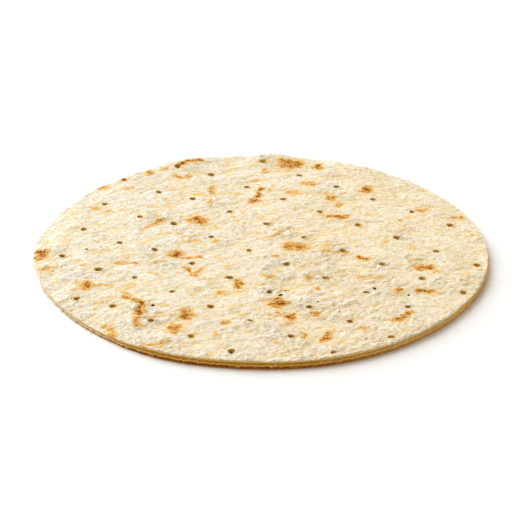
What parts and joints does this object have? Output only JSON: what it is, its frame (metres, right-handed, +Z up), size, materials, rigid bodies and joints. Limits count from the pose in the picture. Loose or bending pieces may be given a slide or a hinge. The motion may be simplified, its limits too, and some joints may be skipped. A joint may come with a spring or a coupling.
{
  "type": "pizza crust",
  "caption": "Round thin pizza crust: a flat baked disc of dough with docking holes, toasted patches and a cut edge, ready to be topped and baked",
  "frame": {"origin": "middle of the crust's outline, on the surface that its flat base lies on", "axes": "+Z up out of the docked top face, +Y to the back edge that curls up, +X to the right"},
  "size_m": [0.3111, 0.3045, 0.0092],
  "materials": {
    "baked_dough": "matte baked dough, pale cream with golden toasted patches"
  },
  "bodies": {
    "root": {"crust": "baked_dough"}
  },
  "joints": []
}
